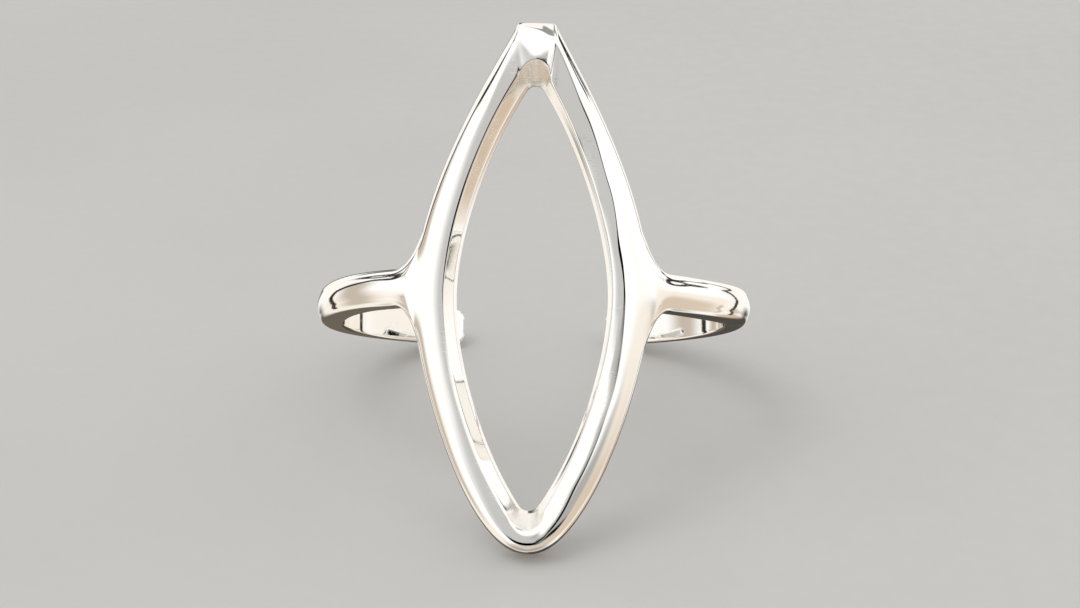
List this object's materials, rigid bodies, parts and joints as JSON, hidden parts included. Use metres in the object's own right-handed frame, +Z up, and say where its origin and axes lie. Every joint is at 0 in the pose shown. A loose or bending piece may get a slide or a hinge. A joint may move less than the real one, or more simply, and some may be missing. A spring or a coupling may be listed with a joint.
{
  "type": "openwork silver finger ring",
  "caption": "Polished silver finger ring with a long pointed-oval openwork front, rounded below and cut flat above, on a narrow shank that is open at the back.",
  "frame": {"origin": "on the surface that the ring rests on, under the middle of its box", "axes": "+X across the ring, to the right seen from the front; +Y from the openwork front to the open back; +Z up from the surface. The finger's own axis leans 31 degrees back from +Z"},
  "size_m": [0.0196, 0.0218, 0.0195],
  "materials": {
    "silver": "mirror-polished silver with faint wear"
  },
  "bodies": {
    "root": {"ring": "silver"}
  },
  "joints": []
}
